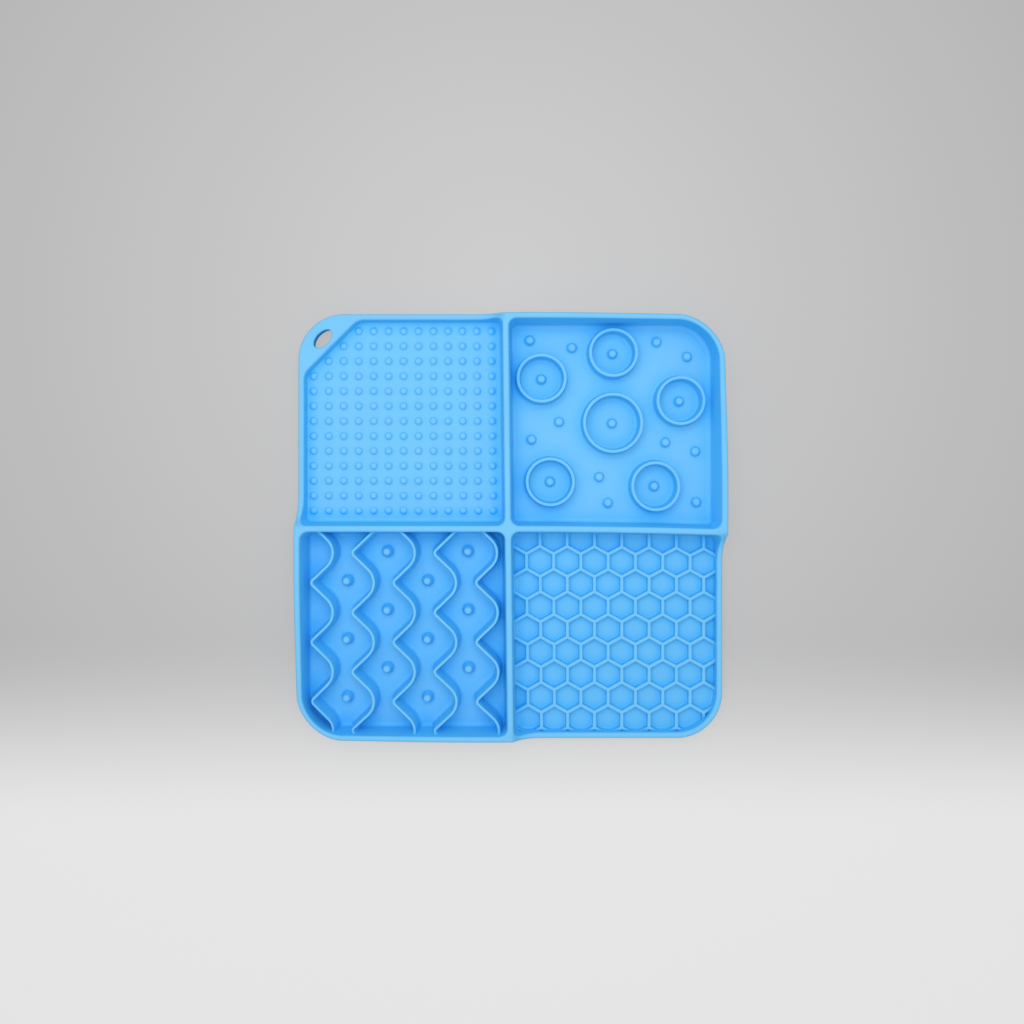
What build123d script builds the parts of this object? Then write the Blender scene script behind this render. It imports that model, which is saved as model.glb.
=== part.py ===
from build123d import *
import math
import os

# Lick mat: one silicone moulding with four fields of relief, divided here at its moulded features.
# It lies flat with the licking face up. The origin is at the middle of the underside.

# Outline and walls
side = 200.0                 # along each edge of the underside
corner_radius = 22.0         # outer corners, seen from above
floor_thickness = 2.0
low_height = 7.0             # rims round the dots and the honeycomb
tall_height = 15.0           # rims round the rings and the waves, and all four dividers
rim_width = 2.6              # across the top of a rim
divider_width = 2.7          # across the top of a divider
cross_x = -1.0               # where the dividers cross
cross_y = -0.8
outer_draft = 4.0            # degrees from upright, outside
inner_draft = 6.0            # degrees from upright, inside
field_corner_radius = 4.0    # field corners that touch a divider
boss_margin = 1.0            # centre boss beyond the round corners beside it
ramp_radius = 14.6           # sweep from a low rim up to a tall wall

# Hanging tab in the corner of the dots field
tab_leg = 24.9               # corner cut off the field, along each wall
tab_corner_radius = 6.0      # where that cut meets the walls
hole_length = 10.4           # of the oval at the front
hole_width = 5.8
hole_draft = 8.0             # degrees, wider at the back
hole_web = 2.8               # silicone between the hole and the field

# Dots
dot_pitch = 7.1
dot_edge_west = 3.1          # first column from the foot of the west rim
dot_edge_north = 4.1         # first row from the foot of the north rim
dot_gap = 0.2                # least gap between a dot and a wall
dot_base = 4.0               # diameters
dot_tip = 2.0
dot_height = 1.4

# Rings, placed from the middle of their field in halves of its width
ring_height = 6.0
ring_width = 1.8             # across the top
ring_draft = 4.0
large_ring_radius = 13.4     # to the middle of the ring's wall
small_ring_radius = 10.8
ring_places = {
    "ring_large": (-0.004, 0.001),
    "ring_top": (0.0, 0.708),
    "ring_left": (-0.711, 0.45),
    "ring_right": (0.677, 0.225),
    "ring_lower_left": (-0.632, -0.594),
    "ring_lower_right": (0.423, -0.631),
}
nub_places = [
    (-0.822, 0.846), (-0.409, 0.77), (0.449, 0.828), (0.758, 0.68),
    (-0.537, 0.016), (-0.814, -0.164), (0.539, -0.192), (0.842, -0.283),
    (-0.134, -0.543), (-0.046, -0.803), (0.852, -0.781),
]
nub_base = 5.0               # diameters
nub_tip = 3.2
nub_height = 2.75

# Wave ribs and the posts between them
rib_count = 5
rib_edge_outer = 9.5         # middle of the outermost rib from the foot of the outer rim
rib_edge_inner = 5.9         # middle of the innermost rib from the foot of the divider
zigzag_width = 14.3          # between the left and right corners of one rib, before rounding
rib_height = 10.0
rib_width = 1.5              # across the top
rib_draft = 5.0
wave_period = 27.5
first_peak = 8.6             # first row of peaks from the foot of the divider
left_peak_radius = 1.8
right_peak_radius = 8.5
post_base = 6.0              # diameters
post_tip = 3.0
post_height = 5.25
post_shift = 1.0             # west of midway between two ribs

# Honeycomb
cell_pitch = 12.9            # between cells in a row
row_pitch = 10.7             # between rows
web_width = 1.5
web_height = 3.0
first_cell_x = 12.2          # first whole cell from the foot of the dividers
first_cell_y = 13.2

WEST, EAST = -1, 1
SOUTH, NORTH = -1, 1


def tangent(degrees):
    return math.tan(math.radians(degrees))


# Where the walls stand, worked out from the sizes above
half_side = side / 2
field_depth = tall_height - floor_thickness
divider_foot = divider_width / 2 + field_depth * tangent(inner_draft)
cross_half = divider_foot + field_corner_radius + boss_margin
reach = side                 # past every edge of the mat, for cutting planes


def outer_face(height):
    return half_side - height * tangent(outer_draft)


def rim_face(rim_height):
    return outer_face(rim_height) - rim_width


def rim_foot(rim_height):
    return rim_face(rim_height) - (rim_height - floor_thickness) * tangent(inner_draft)


def field_floor(east, north, rim_height):
    """Edges of a field's floor, from the wall at the cross to the outer wall, in X and in Y."""
    near_x = cross_x + east * divider_foot
    near_y = cross_y + north * divider_foot
    return near_x, east * rim_foot(rim_height), near_y, north * rim_foot(rim_height)


def rounded_face(corners, z):
    """A flat face through (x, y, radius) corners."""
    points = [(x, y, z) for x, y, radius in corners]
    face = Face(Wire.make_polygon(points))
    for x, y, radius in corners:
        corner = face.vertices().sort_by_distance((x, y, z))[0]
        face = face.fillet_2d(radius, [corner])
    return face


def field_outline(east, north, near, far, z, corner_cut):
    """A field's outline at one height, with its outer corner rounded or cut off at 45 degrees."""
    near_x = cross_x + east * near
    near_y = cross_y + north * near
    far_x = east * far
    far_y = north * far
    small = field_corner_radius
    if corner_cut:
        outer = [
            (far_x, far_y - north * corner_cut, tab_corner_radius),
            (far_x - east * corner_cut, far_y, tab_corner_radius),
        ]
    else:
        outer = [(far_x, far_y, far - (half_side - corner_radius))]
    corners = [(near_x, near_y, small), (far_x, near_y, small), *outer, (near_x, far_y, small)]
    return rounded_face(corners, z)


def field_space(east, north, rim_height, corner_cut=0.0):
    """The hollow over a field, from its floor to the tops of the tall walls."""
    foot = field_outline(east, north, divider_foot, rim_foot(rim_height), floor_thickness, corner_cut)
    top = field_outline(east, north, divider_width / 2, rim_face(rim_height), tall_height, corner_cut)
    return Solid.make_loft([foot.outer_wire(), top.outer_wire()], ruled=True)


def region(x0, x1, y0, y1):
    """A tall block between two pairs of upright planes."""
    width = abs(x1 - x0)
    depth = abs(y1 - y0)
    middle = ((x0 + x1) / 2, (y0 + y1) / 2, tall_height / 2)
    return Pos(*middle) * Box(width, depth, 4 * tall_height)


def ramp_profile(direction, face):
    """What is cut off above a low rim along one axis: an arc down from the divider, then level."""
    rise = tall_height - low_height
    turn = math.acos((ramp_radius - rise) / ramp_radius)
    foot = face + direction * ramp_radius * math.sin(turn)
    middle = (
        foot - direction * ramp_radius * math.sin(turn / 2),
        low_height + ramp_radius * (1 - math.cos(turn / 2)),
    )
    above = tall_height + rise
    arc = ThreePointArc((face, tall_height), middle, (foot, low_height))
    rest = Polyline(
        (foot, low_height),
        (direction * reach, low_height),
        (direction * reach, above),
        (face, above),
        (face, tall_height),
    )
    return make_face([arc, rest])


def low_rim_cut(east, north):
    """Lowers both rims of a field, and leaves the sweep up to the dividers at their ends."""
    face_x = cross_x + east * divider_width / 2
    face_y = cross_y + north * divider_width / 2
    along_x = extrude(Plane.XZ * ramp_profile(east, face_x), reach, both=True)
    along_y = extrude(Plane.YZ * ramp_profile(north, face_y), reach, both=True)
    beside_cross = region(cross_x, cross_x + east * cross_half, cross_y, cross_y + north * cross_half)
    return (along_x & along_y) - beside_cross


def turned_post(base, tip, height):
    """A tapered post with a round tip, standing on the floor."""
    tip_radius = tip / 2
    shoulder = height - tip_radius
    lean = math.sqrt(0.5) * tip_radius
    outline = [
        Polyline((0, height), (0, 0), (base / 2, 0), (tip_radius, shoulder)),
        ThreePointArc((tip_radius, shoulder), (lean, shoulder + lean), (0, height)),
    ]
    return Pos(0, 0, floor_thickness) * revolve(Plane.XZ * make_face(outline), Axis.Z)


def wall_section(top_width, height, draft):
    """Half widths of a thin upright wall at its top and at its foot."""
    return top_width / 2, top_width / 2 + height * tangent(draft)


def ring(radius):
    top, foot = wall_section(ring_width, ring_height, ring_draft)
    section = make_face(Polyline(
        (radius - foot, 0),
        (radius + foot, 0),
        (radius + top, ring_height),
        (radius - top, ring_height),
        (radius - foot, 0),
    ))
    return Pos(0, 0, floor_thickness) * revolve(Plane.XZ * section, Axis.Z)


def wave_rib(middle_x, first_y, last_y, starts_right):
    """A zigzag wall with round peaks, running from the divider to the outer rim."""
    points = []
    radii = []
    step = wave_period / 2
    y = first_y
    right = starts_right
    while y > last_y:
        points.append((middle_x + (zigzag_width / 2 if right else -zigzag_width / 2), y))
        radii.append(right_peak_radius if right else left_peak_radius)
        y -= step
        right = not right
    path = FilletPolyline(*points, radius=radii[1:-1])
    top, foot = wall_section(rib_width, rib_height, rib_draft)
    section = make_face(Polyline((-foot, 0), (foot, 0), (top, rib_height), (-top, rib_height), (-foot, 0)))
    start = Plane(origin=path @ 0, x_dir=Vector(0, 0, 1).cross(path % 0), z_dir=path % 0)
    return Pos(0, 0, floor_thickness) * sweep(start * section, path)


def hexagon(x, y):
    """One cell of the honeycomb, smaller than its place by the width of a web."""
    half_width = (cell_pitch - web_width) / 2
    shrink = half_width / (cell_pitch / 2)
    tip = shrink * row_pitch * 2 / 3
    shoulder = tip / 2
    corners = [
        (x, y + tip), (x + half_width, y + shoulder), (x + half_width, y - shoulder),
        (x, y - tip), (x - half_width, y - shoulder), (x - half_width, y + shoulder),
    ]
    return Face(Wire.make_polygon([(cx, cy, floor_thickness) for cx, cy in corners]))


# Hollows over the four fields
dots_space = field_space(WEST, NORTH, low_height, tab_leg)
rings_space = field_space(EAST, NORTH, tall_height)
waves_space = field_space(WEST, SOUTH, tall_height)
honeycomb_space = field_space(EAST, SOUTH, low_height)


def hole_outline(z):
    """The oval of the hanging hole at one height."""
    field_corner = rim_foot(low_height) - tab_leg / 2
    middle = field_corner + (hole_web + hole_width / 2) * math.sqrt(0.5)
    spread = (low_height - z) * tangent(hole_draft)
    oval = Ellipse(hole_length / 2 + spread, hole_width / 2 + spread)
    return (Pos(-middle, middle, z) * Rot(0, 0, 45) * oval).wire()


def hang_hole():
    """The space of the hole, from the underside to well above the tab."""
    return Solid.make_loft([hole_outline(0), hole_outline(2 * low_height)], ruled=True)


def whole_body():
    """The silicone without its relief: floor, rims and dividers in one."""
    block = extrude(RectangleRounded(side, side, corner_radius), tall_height, taper=outer_draft)
    for space in (dots_space, rings_space, waves_space, honeycomb_space):
        block -= space
    block -= low_rim_cut(WEST, NORTH)
    block -= low_rim_cut(EAST, SOUTH)
    return block - hang_hole()


def split_walls(body):
    """Cuts the rims and dividers apart with upright planes beside the cross."""
    floor = Pos(0, 0, floor_thickness / 2) * Box(2 * reach, 2 * reach, floor_thickness)
    walls = body - floor
    west = cross_x - cross_half
    east = cross_x + cross_half
    south = cross_y - cross_half
    north = cross_y + cross_half
    far = reach
    # The tab ends on a slanting plane, past the round ends of the field's cut corner.
    tab_line = 2 * rim_foot(low_height) - tab_leg - 2 * tab_corner_radius
    corner = Pos(-tab_line / 2, tab_line / 2) * Rot(0, 0, 45) * region(-far, far, 0, far)
    dots_rim = walls & region(-far, west, north, far)
    dots_rims = (dots_rim - corner).solids().sort_by(Axis.X)
    return {
        "base_sheet": body & floor,
        "rim_dots_west": dots_rims[0],
        "rim_dots_north": dots_rims[-1],
        "hang_tab": dots_rim & corner,
        "rim_rings": walls & region(east, far, north, far),
        "rim_waves": walls & region(-far, west, -far, south),
        "rim_honeycomb": walls & region(east, far, -far, south),
        "divider_north": walls & region(west, east, north, far),
        "divider_south": walls & region(west, east, -far, south),
        "divider_west": walls & region(-far, west, south, north),
        "divider_east": walls & region(east, far, south, north),
        "centre_boss": walls & region(west, east, south, north),
    }


def dots():
    """Domes on a square grid, wherever one fits between the walls and the tab."""
    near_x, far_x, near_y, far_y = field_floor(WEST, NORTH, low_height)
    room = dot_base / 2 + dot_gap
    across = int((near_x - room - far_x - dot_edge_west) / dot_pitch) + 1
    down = int((far_y - dot_edge_north - near_y - room) / dot_pitch) + 1
    tab_face = far_y - far_x - tab_leg
    one = turned_post(dot_base, dot_tip, dot_height)
    made = []
    for row in range(down):
        for column in range(across):
            x = far_x + dot_edge_west + column * dot_pitch
            y = far_y - dot_edge_north - row * dot_pitch
            if (tab_face - (y - x)) * math.sqrt(0.5) > room:
                made.append(Pos(x, y) * one)
    return Compound(children=made)


def place_in_rings(place):
    """A place in the rings field, from its middle in halves of its width."""
    near_x, far_x, near_y, far_y = field_floor(EAST, NORTH, tall_height)
    x = (near_x + far_x) / 2 + place[0] * (far_x - near_x) / 2
    y = (near_y + far_y) / 2 + place[1] * (far_y - near_y) / 2
    return Pos(x, y)


def rings():
    made = {}
    for name, place in ring_places.items():
        radius = large_ring_radius if name == "ring_large" else small_ring_radius
        made[name] = (place_in_rings(place) * ring(radius)) & rings_space
    return made


def nubs(places):
    one = turned_post(nub_base, nub_tip, nub_height)
    return Compound(children=[place_in_rings(place) * one for place in places])


def rib_middles():
    near_x, far_x, near_y, far_y = field_floor(WEST, SOUTH, tall_height)
    first = far_x + rib_edge_outer
    pitch = (near_x - rib_edge_inner - first) / (rib_count - 1)
    return [first + index * pitch for index in range(rib_count)]


def wave_ribs():
    near_x, far_x, near_y, far_y = field_floor(WEST, SOUTH, tall_height)
    made = {}
    for index, middle in enumerate(rib_middles()):
        start = near_y - first_peak + wave_period
        rib = wave_rib(middle, start, far_y - wave_period, index % 2 == 0)
        made[f"wave_rib_{index + 1}"] = rib & waves_space
    return made


def wave_posts():
    """Posts in the wide places between neighbouring ribs."""
    near_x, far_x, near_y, far_y = field_floor(WEST, SOUTH, tall_height)
    one = turned_post(post_base, post_tip, post_height)
    middles = rib_middles()
    made = []
    for index in range(rib_count - 1):
        x = (middles[index] + middles[index + 1]) / 2 - post_shift
        y = near_y - first_peak - (wave_period / 2 if index % 2 == 0 else 0)
        while y > far_y + post_base:
            made.append(Pos(x, y) * one)
            y -= wave_period
    return Compound(children=made)


def honeycomb():
    """Webs left standing between six-sided cells, cut off at the walls."""
    near_x, far_x, near_y, far_y = field_floor(EAST, SOUTH, low_height)
    spare = cell_pitch
    left = near_x - spare
    right = far_x + spare
    sheet = Face(Wire.make_polygon([
        (left, near_y + spare, floor_thickness), (right, near_y + spare, floor_thickness),
        (right, far_y - spare, floor_thickness), (left, far_y - spare, floor_thickness),
    ]))
    cells = []
    rows_above = math.ceil(first_cell_y / row_pitch)
    columns_before = math.ceil(first_cell_x / cell_pitch)
    rows = math.ceil((near_y - far_y) / row_pitch) + rows_above
    columns = math.ceil((far_x - near_x) / cell_pitch) + columns_before
    for row in range(-rows_above, rows):
        for column in range(-columns_before - 1, columns):
            x = near_x + first_cell_x + (column + 0.5 * (row % 2)) * cell_pitch
            y = near_y - first_cell_y - row * row_pitch
            cells.append(hexagon(x, y))
    net = extrude(sheet - cells, web_height, dir=(0, 0, 1)) & honeycomb_space
    # A scrap in a round corner that no other web reaches is left off.
    return net.solids().sort_by(SortBy.VOLUME)[-1]


nodes = split_walls(whole_body())
nodes["dot_nubs"] = dots()
nodes.update(rings())
nodes["ring_centre_nubs"] = nubs(ring_places.values())
nodes["scatter_nubs"] = nubs(nub_places)
nodes.update(wave_ribs())
nodes["wave_posts"] = wave_posts()
nodes["honeycomb_lattice"] = honeycomb()

os.makedirs("parts", exist_ok=True)
for name, shape in nodes.items():
    export_step(shape, f"parts/{name}.step")
    print(name, len(shape.solids()), round(shape.volume, 1))
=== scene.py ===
# %% [markdown]
# This is a lick mat: one soft moulding of silicone, 200 mm square, for spreading wet pet food on. A cross
# of walls parts it into four fields: dots, rings, waves and honeycomb. The first step loads the model
# that gives every size and place. The shapes below follow it, and add what a mould leaves on soft
# silicone: round edges, flared feet and a fine matt grain.

# %% Load the frame
import math
import bmesh
import bpy
from mathutils import Matrix, Vector


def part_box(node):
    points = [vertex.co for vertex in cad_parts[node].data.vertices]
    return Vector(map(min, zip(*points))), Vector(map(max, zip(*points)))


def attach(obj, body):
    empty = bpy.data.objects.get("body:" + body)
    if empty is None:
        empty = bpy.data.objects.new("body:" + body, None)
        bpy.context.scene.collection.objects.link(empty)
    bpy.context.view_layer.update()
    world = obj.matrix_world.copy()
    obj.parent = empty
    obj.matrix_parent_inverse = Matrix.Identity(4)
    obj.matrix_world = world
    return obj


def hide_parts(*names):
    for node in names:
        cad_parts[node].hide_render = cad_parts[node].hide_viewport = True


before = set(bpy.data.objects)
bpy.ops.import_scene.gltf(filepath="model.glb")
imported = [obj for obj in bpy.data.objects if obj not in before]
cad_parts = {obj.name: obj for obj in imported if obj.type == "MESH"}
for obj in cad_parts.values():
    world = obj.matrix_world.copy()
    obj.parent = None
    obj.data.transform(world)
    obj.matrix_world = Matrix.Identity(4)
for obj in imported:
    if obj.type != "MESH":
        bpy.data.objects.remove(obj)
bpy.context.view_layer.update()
print("frame:", len(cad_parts), "nodes")

# %% [markdown]
# The scene is in metres, but a maker thinks of a mat in millimetres, so every shape is drawn in
# millimetres and scaled down when it is kept. Heights and places are read from the frame. Widths and
# radii that no box shows are written here. The leans of the walls are the draft that lets the mat come
# out of its mould.

# %% Main sizes
MM = 0.001


def box_mm(node):
    """Lowest and highest corner of a node of the frame, in millimetres."""
    low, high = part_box(node)
    return low / MM, high / MM


boss_low, boss_high = box_mm("centre_boss")
cross = ((boss_low + boss_high) / 2).xy
half_side = box_mm("base_sheet")[1].x
floor_top = box_mm("base_sheet")[1].z
low_top = box_mm("hang_tab")[1].z
tall_top = box_mm("rim_rings")[1].z
corner_radius = 22.0
rim_width = 2.6
divider_width = 2.7
outer_lean = math.tan(math.radians(4))
inner_lean = math.tan(math.radians(6))
print("cross at", tuple(round(c, 2) for c in cross), "rims", round(low_top, 2), round(tall_top, 2))

# %% [markdown]
# A finish is made of a few nodes. Its colours are written as a screen shows them and turned into the
# linear values that light is reckoned in. A pattern's scale follows from the real width of its marks.
# One helper adds any node with its settings and links, so that a finish reads as a short list.

# %% Colours and nodes
def linear(hex_colour):
    """A colour written as sRGB hex, as linear values."""
    channels = [int(hex_colour[i:i + 2], 16) / 255 for i in (1, 3, 5)]
    return [c / 12.92 if c <= 0.04045 else ((c + 0.055) / 1.055) ** 2.4 for c in channels] + [1.0]


def add_node(tree, kind, inputs=None, **settings):
    """Add a node with its settings; an input is a value, or another node's output to link."""
    node = tree.nodes.new(kind)
    for name, value in settings.items():
        setattr(node, name, value)
    for name, value in (inputs or {}).items():
        if isinstance(value, bpy.types.NodeSocket):
            tree.links.new(value, node.inputs[name])
        else:
            node.inputs[name].default_value = value
    return node


def per_metre(size_mm):
    """The scale of a noise whose features are this many millimetres across."""
    return 1000 / size_mm


print("a middle grey is", round(linear("#808080")[0], 3), "in linear light")

# %% [markdown]
# Silicone rubber cured in a spark-eroded steel mould comes out matt, with a pigment that is nearly even.
# Its colour varies by a shade over a centimetre or two. One flat colour would look like paper, so a slow
# noise mixes two close shades of blue. The real grain is finer than a tenth of a millimetre. It is drawn
# 0.7 mm wide, as coarse as it needs to be to show, and drives the bump. Shade is also painted into the
# colour: a deeper blue where an ambient occlusion node finds walls standing close round a spot, and a
# deeper blue where a face is steep. It stands in for light that soaks into silicone and comes out a
# deeper blue in hollows and on steep sides, since true scattering goes dark here where small pieces meet.

# %% Silicone finish
mottle_width = 18.0
grain_width = 0.7
grain_depth = 0.04
# How far the painted hollow shade looks for walls, in millimetres.
painted_shade_reach = 9.0
silicone = bpy.data.materials.new("moulded_silicone")
silicone.use_nodes = True
tree = silicone.node_tree
surface = add_node(tree, "ShaderNodeTexCoord")
place = surface.outputs["Object"]
mottle = add_node(tree, "ShaderNodeTexNoise",
                  {"Vector": place, "Scale": per_metre(mottle_width), "Detail": 3.0})
flat_blue = add_node(tree, "ShaderNodeMix",
                     {"Factor": mottle.outputs["Fac"], "A": linear("#76C9FC"), "B": linear("#80CFFF")},
                     data_type="RGBA")
# Painted shade: the colour turns a deeper blue where ambient occlusion finds walls close round a spot.
painted_hollow_shade = add_node(tree, "ShaderNodeAmbientOcclusion", {"Distance": painted_shade_reach * MM}, samples=8)
hollow_shade_factor = add_node(tree, "ShaderNodeMapRange",
                    {"Value": painted_hollow_shade.outputs["AO"], "From Min": 0.25, "From Max": 0.95})
blue_with_painted_hollow_shade = add_node(tree, "ShaderNodeMix",
                     {"Factor": hollow_shade_factor.outputs["Result"], "A": linear("#40C0FA"),
                      "B": flat_blue.outputs["Result"]}, data_type="RGBA")
# Painted shade: steep faces are given a deeper blue than flats, by the height of their normal.
facing_for_painted_shade = add_node(tree, "ShaderNodeSeparateXYZ", {"Vector": surface.outputs["Normal"]})
steep_side_shade_factor = add_node(tree, "ShaderNodeMapRange",
                    {"Value": facing_for_painted_shade.outputs["Z"], "From Min": 0.0, "From Max": 0.8})
blue_with_painted_shade = add_node(tree, "ShaderNodeMix",
                 {"Factor": steep_side_shade_factor.outputs["Result"], "A": linear("#50C4FC"),
                  "B": blue_with_painted_hollow_shade.outputs["Result"]}, data_type="RGBA")
grain = add_node(tree, "ShaderNodeTexNoise",
                 {"Vector": place, "Scale": per_metre(grain_width), "Detail": 2.0})
bump = add_node(tree, "ShaderNodeBump",
                {"Height": grain.outputs["Fac"], "Strength": 0.25, "Distance": grain_depth * MM})
rubber = tree.nodes["Principled BSDF"]
tree.links.new(blue_with_painted_shade.outputs["Result"], rubber.inputs["Base Color"])
tree.links.new(bump.outputs["Normal"], rubber.inputs["Normal"])
rubber.inputs["Roughness"].default_value = 0.7
rubber.inputs["IOR"].default_value = 1.41
rubber.inputs["Specular IOR Level"].default_value = 0.1
print("finish:", silicone.name, "with", len(tree.nodes), "nodes")

# %% [markdown]
# Soft silicone never lies dead square. Here the cross leans a little, its right arm sags, and the tall
# rims lean outward beside the cross and inward at the corners. Every piece is bent by the same small rule
# when it is kept, so that they still meet. A lattice modifier could do this too, but a rule is easier to
# read. The leans and pulls are millimetres at the top of a tall wall.

# %% Bend a point as the soft mat lies
cross_lean = 1.2
cross_zone = 40.0
arm_rise, arm_sag = 0.1, 1.65
rim_lean = Vector((1.0, 0.6))
rim_wave, rim_wave_start = 1.1, 0.15
rim_pull = Vector((0.05, 0.75))
rim_shift = Vector((0.35, 0.0))
corner_pull = 1.0
wall_zone = 12.0
fade_length = 15.0


def ease(share):
    """A share from 0 to 1 with a soft start and end."""
    share = min(1.0, max(0.0, share))
    return share * share * (3 - 2 * share)


def lie(spot):
    """Where a point of the square mat ends up on the soft one, in millimetres."""
    share = spot.xy / half_side
    bent = spot.copy()
    offset = spot.xy - cross
    bent.x -= cross_lean * share.y * ease(1 - abs(offset.x) / cross_zone)
    bent.y += (arm_rise - arm_sag * max(0.0, share.x) ** 2) * ease(1 - abs(offset.y) / cross_zone)
    height = max(0.0, (spot.z - floor_top) / (tall_top - floor_top))
    straight = half_side - corner_radius
    outward = Vector([math.copysign(max(0.0, abs(c) - straight), c) for c in spot.xy])
    near_wall = ease(1 - (corner_radius - outward.length) / wall_zone)
    outward.normalize()
    in_corner = 2 * abs(outward.x * outward.y)
    for axis in (0, 1):
        along = abs(offset[1 - axis]) / half_side
        wave = math.cos(math.pi * (rim_wave * along - rim_wave_start))
        lean = rim_lean[axis] * wave - rim_pull[axis] - corner_pull * in_corner
        push = outward[axis] * lean + abs(outward[axis]) * rim_shift[axis]
        if offset.x * offset.y < 0:
            push *= ease(1 - abs(offset[1 - axis]) / fade_length)
        bent[axis] += near_wall * height * push
    return bent


rim_middle = lie(Vector((half_side, half_side / 2, tall_top)))
print("the rim beside the rings leans by", round(rim_middle.x - half_side, 2), "mm")

# %% [markdown]
# Each piece is finished the same way: bent, brought to metres, turned with its faces outward, shaded
# smooth and given to the frame. A weighted normal keeps broad flats flat where they run into small round
# edges. Splitting the mesh at sharp edges would do that too, but it would open the skin.

# %% Keep a finished piece
def keep(bm, name, *nodes):
    """Turn a drawn shape into a piece that stands for these nodes of the frame."""
    for vert in bm.verts:
        vert.co = lie(vert.co)
    bmesh.ops.scale(bm, vec=(MM, MM, MM), verts=bm.verts)
    bmesh.ops.recalc_face_normals(bm, faces=bm.faces)
    for face in bm.faces:
        face.smooth = True
    mesh = bpy.data.meshes.new(name)
    bm.to_mesh(mesh)
    bm.free()
    mesh.materials.append(silicone)
    piece = bpy.data.objects.new(name, mesh)
    bpy.context.collection.objects.link(piece)
    piece.modifiers.new("flats", "WEIGHTED_NORMAL")
    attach(piece, "root")
    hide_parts(*nodes)
    print(name, len(mesh.polygons), "faces")


# %% [markdown]
# Every wall of the mat is a section carried round an outline in plan. An outline is a flat face whose
# corners are rounded by a vertex bevel and whose long sides are split, so that a wall can change height
# along them. A boolean of blocks would give the same walls, but not their round edges.

# %% Draw an outline
side_step = 1.5
arc_step = 1.2


def trace_outline(corners):
    """Points round an outline of (x, y, radius) corners, anticlockwise, each with its way outward."""
    sketch = bmesh.new()
    marks = [sketch.verts.new((x, y, 0)) for x, y, radius in corners]
    sketch.faces.new(marks)
    spots = [mark.co.copy() for mark in marks]
    for i, mark in enumerate(marks):
        radius = corners[i][2]
        back = spots[i - 1] - spots[i]
        ahead = spots[(i + 1) % len(spots)] - spots[i]
        turn = math.pi - back.angle(ahead)
        bmesh.ops.bevel(sketch, geom=[mark], offset=radius * math.tan(turn / 2), offset_type="OFFSET",
                        affect="VERTICES", segments=max(4, round(radius * turn / arc_step)),
                        profile=0.5, material=-1)
    for edge in list(sketch.edges):
        cuts = round(edge.calc_length() / side_step) - 1
        if cuts > 0:
            bmesh.ops.bisect_edges(sketch, edges=[edge], cuts=cuts)
    sketch.faces.ensure_lookup_table()
    points = [loop.vert.co.xy for loop in sketch.faces[0].loops]
    sketch.free()
    outline = []
    for before, point, after in zip(points[-1:] + points[:-1], points, points[1:] + points[:1]):
        along = (point - before).normalized() + (after - point).normalized()
        outline.append((point, Vector((along.y, -along.x)).normalized()))
    return outline


square = [(half_side * x, half_side * y, corner_radius) for x, y in ((-1, -1), (1, -1), (1, 1), (-1, 1))]
mat_outline = trace_outline(square)
print("the mat's outline has", len(mat_outline), "points")

# %% [markdown]
# A section is a short line of corners, each turned into an arc, as a mould maker's round cutter leaves
# them. Its first and last corner often only say which way the line comes and goes, and are dropped
# afterwards. A bevel of the finished wall would round it too, but would fail where walls of two heights
# meet.

# %% Round a section
beyond = 5.0


def rounded(corners, radii, steps=4):
    """A line through these corners, with every inner corner turned into an arc of its radius."""
    spots = [Vector(corner) for corner in corners]
    line = [spots[0]]
    for before, corner, after, radius in zip(spots, spots[1:], spots[2:], radii):
        back = (before - corner).normalized()
        ahead = (after - corner).normalized()
        turn = math.pi - back.angle(ahead)
        centre = corner + (back + ahead).normalized() * radius / math.cos(turn / 2)
        spoke = corner + back * radius * math.tan(turn / 2) - centre
        way = 1 if back.x * ahead.y - back.y * ahead.x < 0 else -1
        for step in range(steps + 1):
            line.append(centre + Matrix.Rotation(way * turn * step / steps, 2) @ spoke)
    return line + [spots[-1]]


print("a rounded corner has", len(rounded([(-beyond, 0), (0, 0), (0, beyond)], [1.0])) - 2, "points")

# %% [markdown]
# A wall's skin is the first loop of points, drawn as edges and extruded through the loops that follow.
# Bridging separate loops would make the same faces, but an extrusion can't twist.

# %% Carry a loop of edges through a row of loops
def skin(bm, loops):
    """Draw the first loop of points and extrude it through the others; gives its end loops of edges."""
    ring = [bm.verts.new(point) for point in loops[0]]
    edges = [bm.edges.new(pair) for pair in zip(ring, ring[1:] + ring[:1])]
    first = edges
    for points in loops[1:]:
        made = bmesh.ops.extrude_edge_only(bm, edges=edges)["geom"]
        fresh = {item for item in made if isinstance(item, bmesh.types.BMVert)}
        lines = [item for item in made if isinstance(item, bmesh.types.BMEdge)]
        edges = [line for line in lines if fresh.issuperset(line.verts)]
        ring = [next(e.other_vert(v) for e in v.link_edges if e.other_vert(v) in fresh) for v in ring]
        for vert, point in zip(ring, points):
            vert.co = point
    return first, edges


# %% [markdown]
# The rims of the dot and honeycomb fields are low, so that a flat-faced dog can reach the food. The
# other two are tall. Beside the cross each low rim climbs to the tall one along a hollow arc, which a
# formula gives for every point of the outlines.

# %% Height of the rim over a point of the plan
ramp_radius = 14.6
ramp_rise = tall_top - low_top
ramp_length = math.sqrt(ramp_radius ** 2 - (ramp_radius - ramp_rise) ** 2)
cross_reach = 8.0


def rim_height(point):
    """How high the wall over this point of the plan stands above the underside."""
    offset = point - cross
    clear = [abs(offset.x) - divider_width / 2, abs(offset.y) - divider_width / 2]
    is_low_field = offset.x * offset.y < 0
    if not is_low_field or max(clear) < cross_reach or min(clear) <= 0:
        return tall_top
    left = max(0.0, ramp_length - min(clear))
    return low_top + ramp_radius - math.sqrt(ramp_radius ** 2 - left ** 2)


print("ramp length", round(ramp_length, 2))

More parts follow.
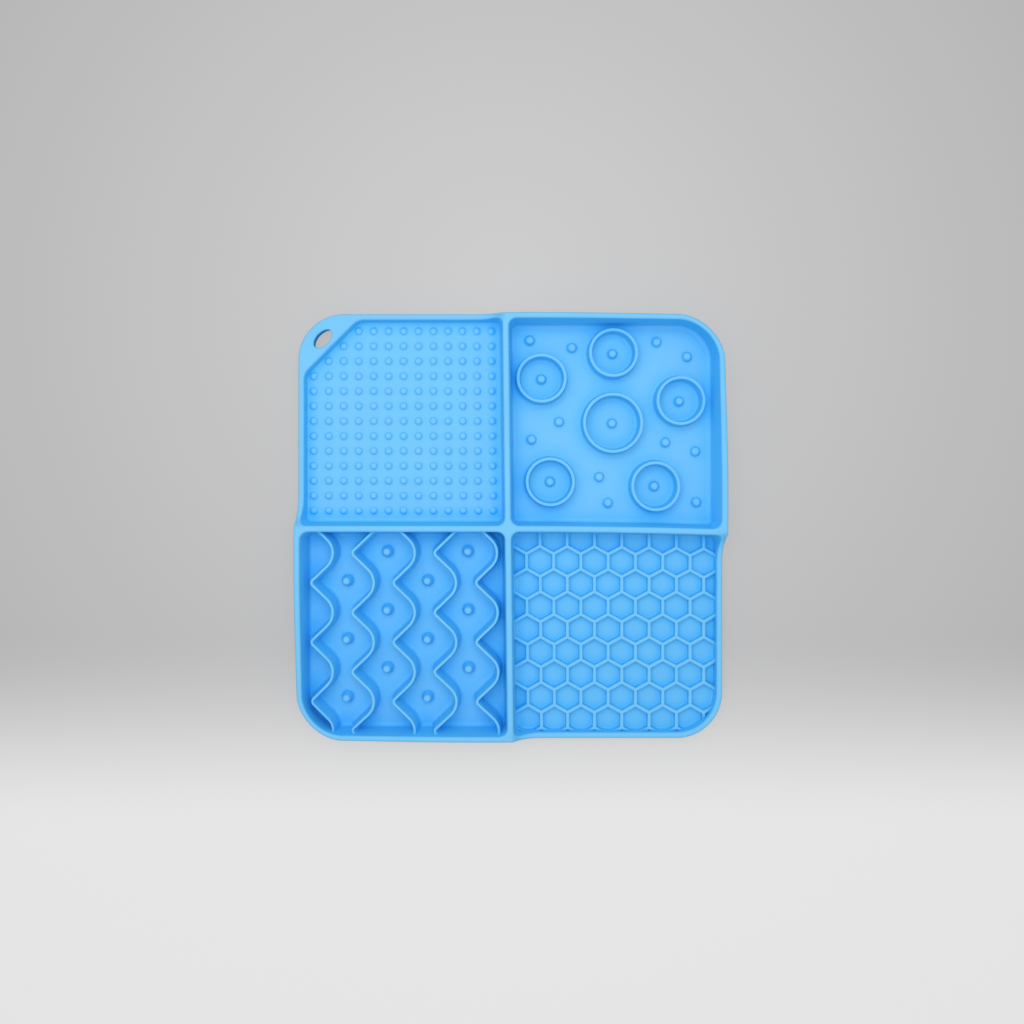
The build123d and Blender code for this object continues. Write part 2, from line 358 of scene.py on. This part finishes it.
# %% [markdown]
# Floor, rims, cross and hanging tab are one continuous skin on the real mat. It is made from six swept
# loops: the inside of each field, the outside of the mat, and the oval hole. The fields come first. Each
# starts from the line where its walls meet the floor. The dots' field has one corner cut off by the tab.

# %% Foot lines of the four fields
field_round = 2.4
tab_leg = 24.9
tab_round = 6.0
near_foot = divider_width / 2 + (tall_top - floor_top) * inner_lean
FIELDS = {"dots": (-1, 1, low_top), "rings": (1, 1, tall_top),
          "waves": (-1, -1, tall_top), "honeycomb": (1, -1, low_top)}


def far_foot(top):
    """Distance from the mat's middle to where the inside of an outer wall meets the floor."""
    return half_side - top * outer_lean - rim_width - (top - floor_top) * inner_lean


def field_corners(field):
    """Corners of a field at its floor, anticlockwise, each with its radius."""
    way_x, way_y, top = FIELDS[field]
    far = far_foot(top)
    near_x = cross.x + way_x * near_foot
    near_y = cross.y + way_y * near_foot
    outer_round = far - half_side + corner_radius
    corner = [(way_x * far, way_y * far, outer_round)]
    if field == "dots":
        corner = [(-far, far - tab_leg, tab_round), (tab_leg - far, far, tab_round)]
    corners = [(near_x, near_y, field_round), (way_x * far, near_y, field_round), *corner,
               (near_x, way_y * far, field_round)]
    return corners if way_x * way_y > 0 else corners[::-1]


print("tall walls meet the floor", round(far_foot(tall_top), 2), "mm out")

# %% [markdown]
# The inside of a wall leaves the floor in a soft curve, leans back with the draft and ends in a round
# rim. The taller the wall, the wider the curve at its foot. Each field's floor is then filled as one
# face.

# %% Inside of the four fields
foot_share = 0.16
rim_round = 1.15


def inner_rows(top):
    """Section of a wall's inside, from the floor to the flat of the rim."""
    rise = top - floor_top
    face = rise * inner_lean
    corners = [(-beyond, 0), (0, 0), (face, rise), (face + beyond, rise)]
    return rounded(corners, (foot_share * rise, rim_round))[1:-1]


def stand(outline, rows, base):
    """Loops of points round an outline, one for every row of its sections."""
    return [[(*(point + outward * row[i].x), base + row[i].y)
             for (point, outward), row in zip(outline, rows)] for i in range(len(rows[0]))]


body = bmesh.new()
rim_edges = []
for field in FIELDS:
    outline = trace_outline(field_corners(field))
    rim_line = [point + outward * (tall_top - floor_top) * inner_lean for point, outward in outline]
    rows = [inner_rows(rim_height(point)) for point in rim_line]
    floor_edges, top_edges = skin(body, stand(outline, rows, floor_top))
    bmesh.ops.edgeloop_fill(body, edges=floor_edges)
    rim_edges += top_edges
    print(field, len(outline), "points round")

# %% [markdown]
# The outside leans in from a small round at the underside to the round rim. It is one sweep round the
# whole mat, so that the low rims run into the tall ones without a seam.

# %% Outside of the mat
under_round = 0.6


def outer_rows(top):
    """Section of the outside, from the underside to the flat of the rim."""
    face = -top * outer_lean
    corners = [(-beyond, 0), (0, 0), (face, top), (face - beyond, top)]
    return rounded(corners, (under_round, rim_round))[1:-1]


rows = [outer_rows(rim_height(point)) for point, outward in mat_outline]
under_edges, top_edges = skin(body, stand(mat_outline, rows, 0.0))
rim_edges += top_edges
print("outside", len(mat_outline), "points round")

# %% [markdown]
# The tab in the upper left corner has an oval hole to hang the mat up by. It has no eyelet, only round
# edges, and widens a little towards the back. A boolean would cut it out of the tab, but a sweep of its
# own section rounds both edges at once.

# %% Hanging hole
hole_length = 10.4
hole_width = 5.8
hole_lean = math.tan(math.radians(8))
hole_web = 2.8
hole_round = 0.7
hole_steps = 40
tab_face = (2 * far_foot(low_top) - tab_leg) / math.sqrt(2)
across_tab = Vector((-1, 1)).normalized()
along_tab = Vector((1, 1)).normalized()
hole_middle = across_tab * (tab_face + hole_web + hole_width / 2)


def oval(spread, z):
    """Points round the oval hole, wider by a spread all round, at one height."""
    points = []
    for step in range(hole_steps):
        angle = math.tau * step / hole_steps
        point = hole_middle + along_tab * math.cos(angle) * (hole_length / 2 + spread)
        point += across_tab * math.sin(angle) * (hole_width / 2 + spread)
        points.append((*point, z))
    return points


back_spread = low_top * hole_lean
hole_corners = [(beyond, low_top), (0, low_top), (back_spread, 0), (back_spread + beyond, 0)]
hole_section = rounded(hole_corners, (hole_round, hole_round))[1:-1]
tab_edges, hole_under_edges = skin(body, [oval(p.x, p.y) for p in hole_section])
print("hole at", tuple(round(c, 2) for c in hole_middle))

# %% [markdown]
# The flat top of the rims, with the tab, and the underside are what is left open. Both are filled
# between their loops. The fill works on a flat face, so the rims are pressed flat for it and then stand
# up again.

# %% Fill the rims and the underside
rim_heights = {vert: vert.co.z for edge in rim_edges for vert in edge.verts}
for vert in rim_heights:
    vert.co.z = low_top
bmesh.ops.triangle_fill(body, edges=rim_edges + tab_edges, normal=(0, 0, 1), use_beauty=True)
for vert, height in rim_heights.items():
    vert.co.z = height
bmesh.ops.triangle_fill(body, edges=under_edges + hole_under_edges, normal=(0, 0, -1), use_beauty=True)
open_edges = [edge for edge in body.edges if not edge.is_manifold]
print("body open edges:", len(open_edges))
keep(body, "mat_body", "base_sheet", "hang_tab", "centre_boss", "rim_dots_west", "rim_dots_north",
     "rim_rings", "rim_waves", "rim_honeycomb",
     "divider_north", "divider_south", "divider_west", "divider_east")

# %% [markdown]
# Dots, nubs and posts are round in plan, as a cutter left them in the mould: a small flare at the foot,
# a leaning side and a domed tip. Each is half a section spun about its own axis. A sphere would miss
# the flare. The foot has a narrow skirt sunk by a hair, so that no two faces lie in the same place.

# %% Spin a bump
sink = 0.05
skirt = 0.1


def turn_bump(bm, place, base_width, tip_width, height, flare, dome, steps, detail):
    """Spin one bump with its axis on this place of the floor."""
    base, tip = base_width / 2, tip_width / 2
    line = rounded([(base + beyond, 0), (base, 0), (tip, height), (0, height)], (flare, dome), detail)[1:]
    line.insert(0, line[0] + Vector((skirt, -sink)))
    verts = [bm.verts.new((place.x + p.x, place.y, floor_top + p.y)) for p in line]
    edges = [bm.edges.new(pair) for pair in zip(verts, verts[1:])]
    bmesh.ops.spin(bm, geom=verts + edges, cent=(*place, 0), axis=(0, 0, 1), angle=math.tau,
                   steps=steps, use_merge=True)


def close_feet(bm):
    """Join what meets at the tips and close the sunk feet."""
    bmesh.ops.remove_doubles(bm, verts=bm.verts, dist=0.001)
    bmesh.ops.holes_fill(bm, edges=[edge for edge in bm.edges if edge.is_boundary], sides=0)


# %% [markdown]
# The dots are small domes on a square grid, which spread food thinly. The grid's ends are read from the
# frame, and the corner under the hanging tab is left out. An array modifier would repeat one dot, but
# couldn't leave a corner out. There are many, so each has few faces.

# %% Dots
dots_in_row = 13
dots_before_tab = 3
dot_base, dot_tip, dot_height = 4.0, 2.4, 1.4
dots_low, dots_high = box_mm("dot_nubs")
dot_pitch = (dots_high.x - dots_low.x - dot_base) / (dots_in_row - 1)
first_dot = Vector((dots_low.x + dot_base / 2, dots_high.y - dot_base / 2))
dots = bmesh.new()
for row in range(dots_in_row):
    for column in range(max(0, dots_before_tab - row), dots_in_row):
        spot = first_dot + Vector((column, -row)) * dot_pitch
        turn_bump(dots, spot, dot_base, dot_tip, dot_height, flare=0.7, dome=0.8, steps=12, detail=2)
close_feet(dots)
keep(dots, "lick_dots", "dot_nubs")
print("dots are", round(dot_pitch, 2), "apart")

# %% [markdown]
# Six thin upright rings hold food for longer. A ring is a ridge section spun in a full turn about the
# ring's axis. A torus would have a round section, but the real ridge is thin and flared at its feet. The
# same section serves the wavy ribs.

# %% Ridge section and rings
crown_share = 0.6


def ridge_section(height, top_width, lean_degrees, flare):
    """Closed section of a thin ridge with a round top and flared feet."""
    half_top = top_width / 2
    half_foot = half_top + height * math.tan(math.radians(lean_degrees))
    crown = half_top * crown_share
    line = rounded([(-half_foot - beyond, 0), (-half_foot, 0), (-half_top, height), (half_top, height),
                    (half_foot, 0), (half_foot + beyond, 0)], (flare, crown, crown, flare))[1:-1]
    return [line[0] + Vector((-skirt, -sink)), *line, line[-1] + Vector((skirt, -sink))]


RINGS = ("large", "top", "left", "right", "lower_left", "lower_right")
ring_height, ring_width, ring_lean = 6.0, 1.4, 6
ring_steps = 96
ring_section = ridge_section(ring_height, ring_width, ring_lean, flare=1.4)
ring_foot_half = ring_width / 2 + ring_height * math.tan(math.radians(ring_lean))
ring_middles = []
for which in RINGS:
    ring_low, ring_high = box_mm("ring_" + which)
    middle = ((ring_low + ring_high) / 2).xy
    radius = (ring_high.x - ring_low.x) / 2 - ring_foot_half
    ring = bmesh.new()
    verts = [ring.verts.new((middle.x + radius + p.x, middle.y, floor_top + p.y)) for p in ring_section]
    edges = [ring.edges.new(pair) for pair in zip(verts, verts[1:] + verts[:1])]
    bmesh.ops.spin(ring, geom=verts + edges, cent=(*middle, 0), axis=(0, 0, 1), angle=math.tau,
                   steps=ring_steps, use_merge=True)
    bmesh.ops.remove_doubles(ring, verts=ring.verts, dist=0.001)
    keep(ring, "lick_ring_" + which, "ring_" + which)
    ring_middles.append(middle)
    print("ring", which, "radius", round(radius, 2))

# %% [markdown]
# A nub stands in the middle of every ring and more are strewn between the rings. The loose ones follow no
# grid, so their places are listed, as shares of the way from the field's middle to its walls.

# %% Nubs in the rings and between them
LOOSE_PLACES = ((-0.822, 0.846), (-0.409, 0.77), (0.449, 0.828), (0.758, 0.68), (-0.537, 0.016),
                (-0.814, -0.164), (0.539, -0.192), (0.842, -0.283), (-0.134, -0.543), (-0.046, -0.803),
                (0.852, -0.781))
nub_base, nub_tip, nub_height = 5.0, 3.2, 2.75
rings_near = cross + Vector((near_foot, near_foot))
rings_far = Vector((far_foot(tall_top), far_foot(tall_top)))
rings_middle = (rings_near + rings_far) / 2
rings_half = (rings_far - rings_near) / 2
loose_middles = [rings_middle + Vector((x * rings_half.x, y * rings_half.y)) for x, y in LOOSE_PLACES]
for name, node, middles in (("ring_nubs", "ring_centre_nubs", ring_middles),
                            ("loose_nubs", "scatter_nubs", loose_middles)):
    nubs = bmesh.new()
    for middle in middles:
        turn_bump(nubs, middle, nub_base, nub_tip, nub_height, flare=0.7, dome=1.4, steps=28, detail=4)
    close_feet(nubs)
    keep(nubs, name, node)

# %% [markdown]
# Five ribs run down the wave field. Each is a zigzag in plan with rounded bends, tight on the left and
# wide on the right. A sine curve would bend alike on both sides, so the line is drawn by its corners and
# rounded like a section.

# %% Centre line of a rib
rib_count = 5
wave_period = 27.5
wave_width = 14.3
first_peak = 8.6
left_round = 1.8
right_round = 8.5
bend_steps = 8
inside_divider = 0.5
into_rim = 1.6
rib_start = cross.y - inside_divider
rib_end = -far_foot(tall_top) - into_rim
rib_edge_outer, rib_edge_inner = 9.5, 5.9
first_rib = -far_foot(tall_top) + rib_edge_outer
last_rib = cross.x - near_foot - rib_edge_inner
rib_pitch = (last_rib - first_rib) / (rib_count - 1)
peak_row = cross.y - near_foot - first_peak


def rib_line(middle, shift):
    """Centre line of a rib, from the divider to the far wall, and the heights of its left bends."""
    half_period = wave_period / 2
    corners = []
    radii = []
    left_bends = []
    bend = -2
    y = math.inf
    while y >= rib_end - half_period:
        y = peak_row - (shift + bend) * half_period
        is_right = bend % 2 == 0
        corners.append((middle + (wave_width / 2 if is_right else -wave_width / 2), y))
        radii.append(right_round if is_right else left_round)
        if not is_right:
            left_bends.append(y)
        bend += 1
    return rounded(corners, radii[1:-1], bend_steps), left_bends


print("ribs are", round(rib_pitch, 2), "apart")

# %% [markdown]
# The ridge section is extruded along that line. Inside a tight bend the two flared feet would run through
# each other, so each stops a hair before the crease between them. Both ends are cut off inside the walls,
# behind a narrow strip that keeps the shading of the cut out of sight.

# %% Ribs
rib_height, rib_width, rib_lean = 10.0, 1.1, 6
rib_section = ridge_section(rib_height, rib_width, rib_lean, flare=2.0)
crease = 0.01
end_strip = 0.3


def sweep_rib(bm, line, left_bends):
    """Extrude the ridge section along a line in plan, without a fold inside the tight left bends."""
    loops = []
    for before, point, after in zip(line[:1] + line[:-1], line, line[1:] + line[-1:]):
        along = ((point - before).normalized() + (after - point).normalized()).normalized()
        across = Vector((-along.y, along.x))
        clear = min(abs(y - point.y) for y in left_bends)
        room = left_round - 10 * crease
        if clear > 2 * crease:
            room = (clear - crease) / max(abs(across.y), crease)
        loops.append([(*(point + across * min(p.x, room)), floor_top + p.y) for p in rib_section])
    skin(bm, loops)


def cut_flat(bm, spot, way, is_end):
    """Cut a shape along an upright plane; at an end, what lies beyond the plane goes."""
    bmesh.ops.bisect_plane(bm, geom=bm.verts[:] + bm.edges[:] + bm.faces[:], dist=0.0001,
                           plane_co=(*spot, 0), plane_no=(*way, 0), clear_outer=is_end)


for rib in range(rib_count):
    ribs = bmesh.new()
    sweep_rib(ribs, *rib_line(first_rib + rib * rib_pitch, rib % 2))
    for limit, way in ((rib_start, 1), (rib_end, -1)):
        cut_flat(ribs, (0, limit - way * end_strip), (0, way), is_end=False)
        cut_flat(ribs, (0, limit), (0, way), is_end=True)
    close_feet(ribs)
    keep(ribs, f"lick_rib_{rib + 1}", f"wave_rib_{rib + 1}")

# %% [markdown]
# A blunt post stands in every pocket between two ribs. The posts follow the ribs' own spacing, a little
# left of the middle, because the tight bends on the left leave the pockets wider there.

# %% Posts
post_base, post_tip, post_height = 6.0, 3.0, 5.25
post_shift = 1.0
posts = bmesh.new()
for column in range(rib_count - 1):
    x = first_rib + (column + 0.5) * rib_pitch - post_shift
    y = peak_row - (wave_period / 2 if column % 2 == 0 else 0)
    while y > -far_foot(tall_top) + post_base / 2:
        turn_bump(posts, Vector((x, y)), post_base, post_tip, post_height,
                  flare=1.0, dome=1.3, steps=32, detail=4)
        y -= wave_period
close_feet(posts)
keep(posts, "lick_posts", "wave_posts")

# %% [markdown]
# Low webs part the last field into six-sided cells, a little wider than regular ones. A sheet of hexagons
# is laid at the height of the webs, with some to spare all round. Every cell is then sunk by a row of
# small insets that follow the section of a web. Separate webs would need their joints cleaned up.

# %% Lay and sink the cells
cell_pitch = 12.9
row_pitch = 10.7
web_width = 1.5
web_height = 3.0
web_lean = math.tan(math.radians(4))
web_crown, web_flare = 0.45, 0.6
cell_floor = 0.02
first_cell_in, first_cell_down = 12.2, 13.2
cell_rows, cell_columns = range(-2, 9), range(-2, 8)
first_cell = Vector((cross.x + near_foot + first_cell_in, cross.y - near_foot - first_cell_down))
hexagon_radius = row_pitch * 2 / 3
widen = cell_pitch / (hexagon_radius * math.sqrt(3))
cells = bmesh.new()
for row in cell_rows:
    for column in cell_columns:
        middle = first_cell + Vector(((column + 0.5 * (row % 2)) * cell_pitch, -row * row_pitch))
        lay = Matrix.Translation((*middle, floor_top + web_height)) @ Matrix.Diagonal((widen, 1, 1, 1))
        bmesh.ops.create_circle(cells, cap_ends=True, segments=6, radius=hexagon_radius, matrix=lay)
bmesh.ops.remove_doubles(cells, verts=cells.verts, dist=0.01)
bmesh.ops.recalc_face_normals(cells, faces=cells.faces)
hexagons = cells.faces[:]
web_foot = web_width / 2 + web_height * web_lean
web_line = rounded([(0, web_height), (web_width / 2, web_height), (web_foot, cell_floor),
                    (beyond, cell_floor)], (web_crown, web_flare))
for here, there in zip(web_line[:-1], web_line[1:-1]):
    bmesh.ops.inset_individual(cells, faces=hexagons, thickness=there.x - here.x, depth=there.y - here.y,
                               use_even_offset=True)
print(len(hexagons), "cells laid")

# %% [markdown]
# The sheet is cut off just inside the walls, so that the webs run into them: straight beside the cross,
# and by a fan of cuts round the outer corner. Its border is then extruded down into the floor, which
# makes the lattice a closed piece.

# %% Trim the cells
into_wall = 1.0
far = far_foot(low_top) + into_wall
corner_middle = Vector((half_side - corner_radius, corner_radius - half_side))
corner_reach = far - half_side + corner_radius
corner_cuts = 12
cut_flat(cells, (cross.x + near_foot - into_wall, 0), (-1, 0), is_end=True)
cut_flat(cells, (0, cross.y - near_foot + into_wall), (0, 1), is_end=True)
for step in range(corner_cuts + 1):
    angle = -math.pi / 2 * step / corner_cuts
    spoke = Vector((math.cos(angle), math.sin(angle)))
    cut_flat(cells, corner_middle + spoke * corner_reach, spoke, is_end=True)
border = [edge for edge in cells.edges if edge.is_boundary]
for item in bmesh.ops.extrude_edge_only(cells, edges=border)["geom"]:
    if isinstance(item, bmesh.types.BMVert):
        item.co.z = floor_top - sink
close_feet(cells)
keep(cells, "lick_honeycomb", "honeycomb_lattice")

# %% [markdown]
# The mat lies on a plain sheet of matt studio paper. A studio sweep looks darker behind than in front,
# with a faint glow behind the object. Here that light is painted: where the camera or a reflection sees
# the paper, it glows with its own grey tones, darker behind, lighter in front and round a spot behind the
# mat, so that no lamp has to light it and the mat keeps its plain light. Under them is a darker grey that
# takes the mat's shadow.

# %% Paper finish
glow_middle = 110.0
glow_reach = 340.0
front_start, front_end = -50.0, -145.0
sheet = bpy.data.materials.new("studio_paper")
sheet.use_nodes = True
tree = sheet.node_tree
spot = add_node(tree, "ShaderNodeTexCoord").outputs["Object"]
# Painted light: a soft glow on the paper round a spot behind the mat.
glow_spot = add_node(tree, "ShaderNodeMapping",
                     {"Vector": spot, "Location": (0.0, glow_middle * MM, 0.0),
                      "Scale": [glow_reach * MM] * 3}, vector_type="TEXTURE")
glow = add_node(tree, "ShaderNodeTexGradient", {"Vector": glow_spot.outputs["Vector"]},
                gradient_type="SPHERICAL")
back = add_node(tree, "ShaderNodeMix",
                {"Factor": glow.outputs["Fac"], "A": linear("#9A9A9B"), "B": linear("#B6B6B7")},
                data_type="RGBA")
split = add_node(tree, "ShaderNodeSeparateXYZ", {"Vector": spot})
front = add_node(tree, "ShaderNodeMapRange",
                 {"Value": split.outputs["Y"], "From Min": front_start * MM, "From Max": front_end * MM},
                 interpolation_type="SMOOTHSTEP")
# Painted light: the paper is lighter in front, and glows where the camera or a reflection sees it.
painted_light_greys = add_node(tree, "ShaderNodeMix",
                 {"Factor": front.outputs["Result"], "A": back.outputs["Result"], "B": linear("#D4D4D4")},
                 data_type="RGBA")
rays = add_node(tree, "ShaderNodeLightPath").outputs
mirrored = add_node(tree, "ShaderNodeMath", {0: rays["Is Glossy Ray"], 1: rays["Is Transmission Ray"]})
seen = add_node(tree, "ShaderNodeMath", {0: rays["Is Camera Ray"], 1: mirrored.outputs["Value"]},
                use_clamp=True)
matt = tree.nodes["Principled BSDF"]
tree.links.new(painted_light_greys.outputs["Result"], matt.inputs["Emission Color"])
tree.links.new(seen.outputs["Value"], matt.inputs["Emission Strength"])
matt.inputs["Base Color"].default_value = linear("#6C6C6C")
matt.inputs["Roughness"].default_value = 0.9
matt.inputs["Specular IOR Level"].default_value = 0.1
print("finish:", sheet.name, "with", len(tree.nodes), "nodes")

# %% [markdown]
# The paper itself is one flat square, far larger than the mat, so that its edge stays out of the view.
# It lies a hair below the mat's underside, so that the two faces don't share a place.

# %% Floor
paper_half = 3000.0
paper_drop = 0.1
paper = bmesh.new()
bmesh.ops.create_grid(paper, x_segments=1, y_segments=1, size=paper_half * MM)
bmesh.ops.translate(paper, verts=paper.verts, vec=(0, 0, -paper_drop * MM))
floor_mesh = bpy.data.meshes.new("floor")
paper.to_mesh(floor_mesh)
paper.free()
floor_mesh.materials.append(sheet)
floor = bpy.data.objects.new("floor", floor_mesh)
bpy.context.collection.objects.link(floor)
print("floor", 2 * paper_half * MM, "m square")

# %% [markdown]
# One broad soft lamp hangs over the mat, a little behind it, and gives each wall a soft dark side. A
# bright even world fills the shadows, as white studio walls do. A sun would draw hard shadows that soft
# silicone doesn't show here.

# %% Light
lamp = bpy.data.lights.new("soft_box", "AREA")
lamp.shape = "SQUARE"
lamp.size = 0.35
lamp.energy = 0.76
soft_box = bpy.data.objects.new("soft_box", lamp)
soft_box.location = (-0.03, 0.11, 0.4)
soft_box.rotation_euler = soft_box.location.to_track_quat("Z", "Y").to_euler()
bpy.context.collection.objects.link(soft_box)
world = bpy.data.worlds.new("studio")
world.use_nodes = True
world.node_tree.nodes["Background"].inputs["Color"].default_value = linear("#DADADA")
world.node_tree.nodes["Background"].inputs["Strength"].default_value = 0.9
bpy.context.scene.world = world
bpy.context.scene.view_settings.view_transform = "Standard"
print("lamp", round(lamp.energy, 2), "W,", round(soft_box.location.length, 2), "m away")

# %% [markdown]
# The photograph looks square on to the mat's face, so the camera looks straight down. The point of the
# picture that it looks at squarely and its focal length are given in pixels, as they were measured. The
# shift brings that point to its place without turning the camera.

# %% Camera
image_size = 1024
view_middle = (514.2, 475.3)
focal_pixels = 738
camera = bpy.data.cameras.new("camera")
camera.sensor_width = 36
camera.lens = focal_pixels / image_size * camera.sensor_width
camera.shift_x = (image_size / 2 - view_middle[0]) / image_size
camera.shift_y = (view_middle[1] - image_size / 2) / image_size
eye = bpy.data.objects.new("camera", camera)
eye.location = Vector((1.84, 23.9, 353.0)) * MM
bpy.context.collection.objects.link(eye)
bpy.context.scene.camera = eye
print("camera lens", round(camera.lens, 2), "mm")

# %% [markdown]
# Dressing the mat must not change its size. Last, the scene is brought up to date.

# %% Finish
bpy.context.view_layer.update()
